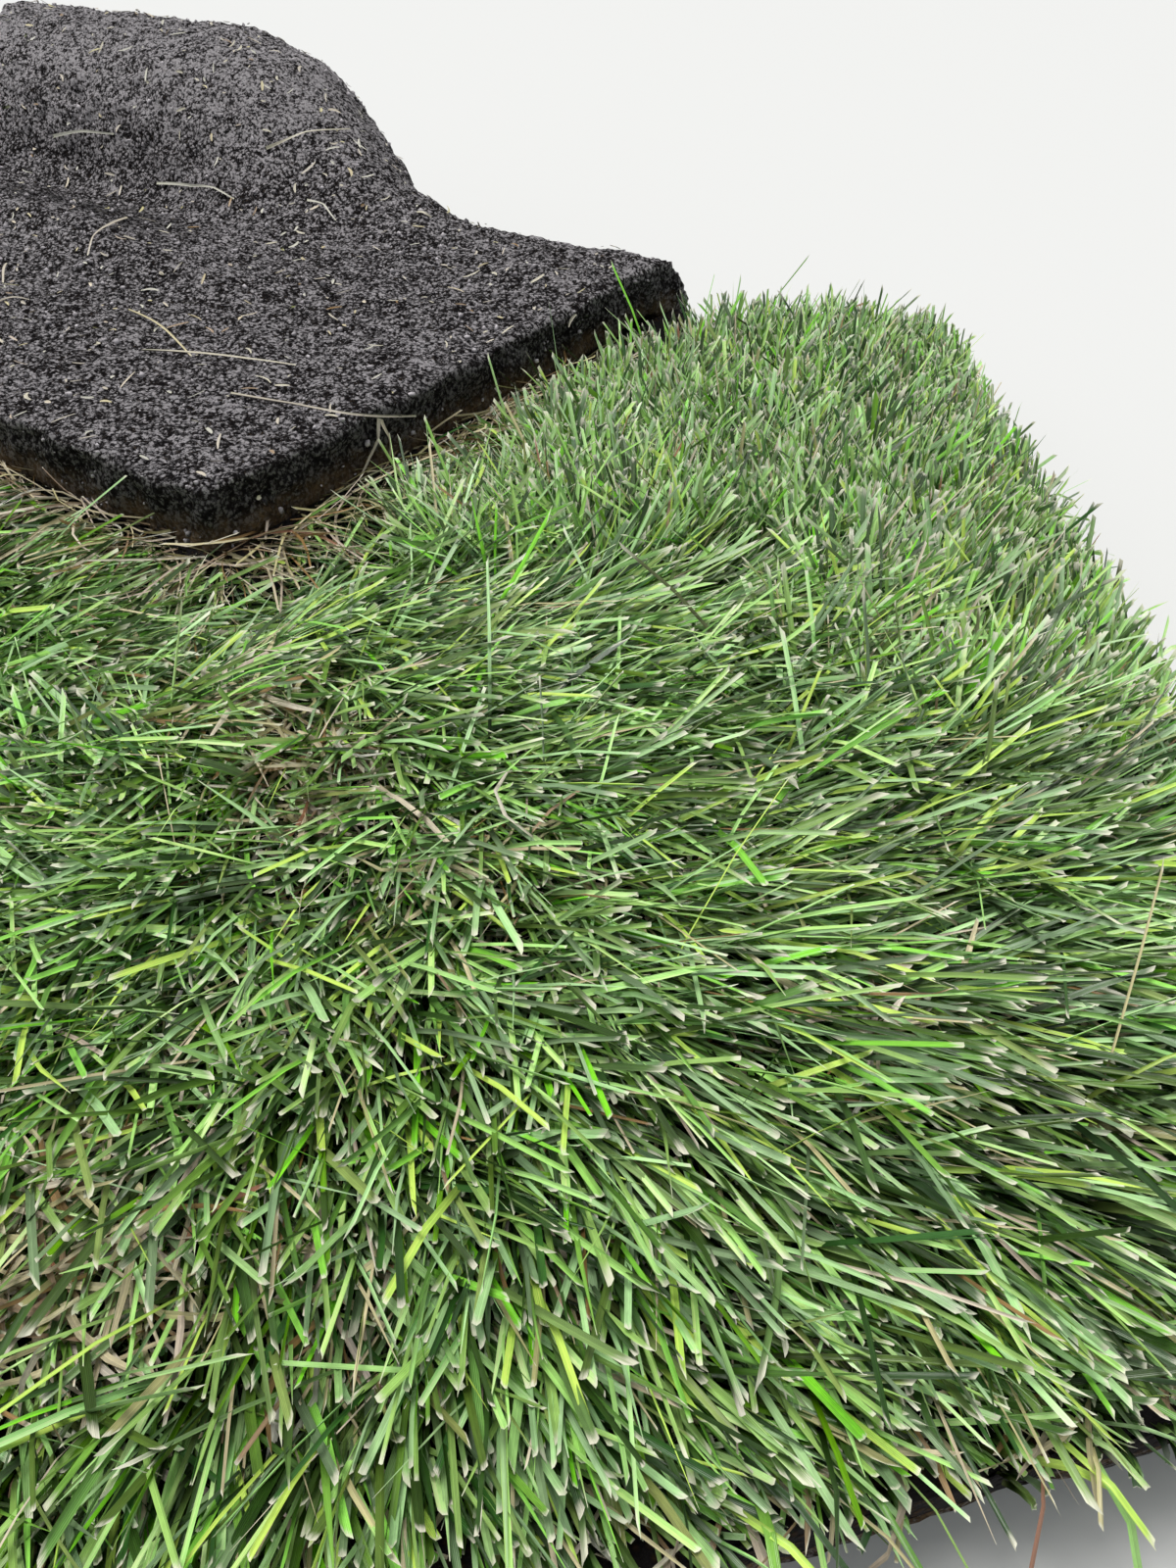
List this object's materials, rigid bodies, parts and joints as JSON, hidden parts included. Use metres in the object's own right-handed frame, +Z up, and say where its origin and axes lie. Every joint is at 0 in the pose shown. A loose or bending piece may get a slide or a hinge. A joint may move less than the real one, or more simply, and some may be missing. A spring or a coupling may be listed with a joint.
{
  "type": "roll of turf",
  "caption": "Strip of turf on dark peat, laid out grass side up with its far end rolled back over itself, soil side up.",
  "frame": {"origin": "centre of the footprint, on the underside", "axes": "+Z up; +X along the fold, from the open end of the loop towards the tight end; +Y from the free end of the turned-over part to the back of the loop"},
  "size_m": [1.0206, 0.9699, 0.16],
  "materials": {
    "soil": "moist crumbly peat with roots",
    "grass": "mown grass blades"
  },
  "bodies": {
    "root": {"soil_mat": "soil", "grass_sward": "grass"}
  },
  "joints": []
}
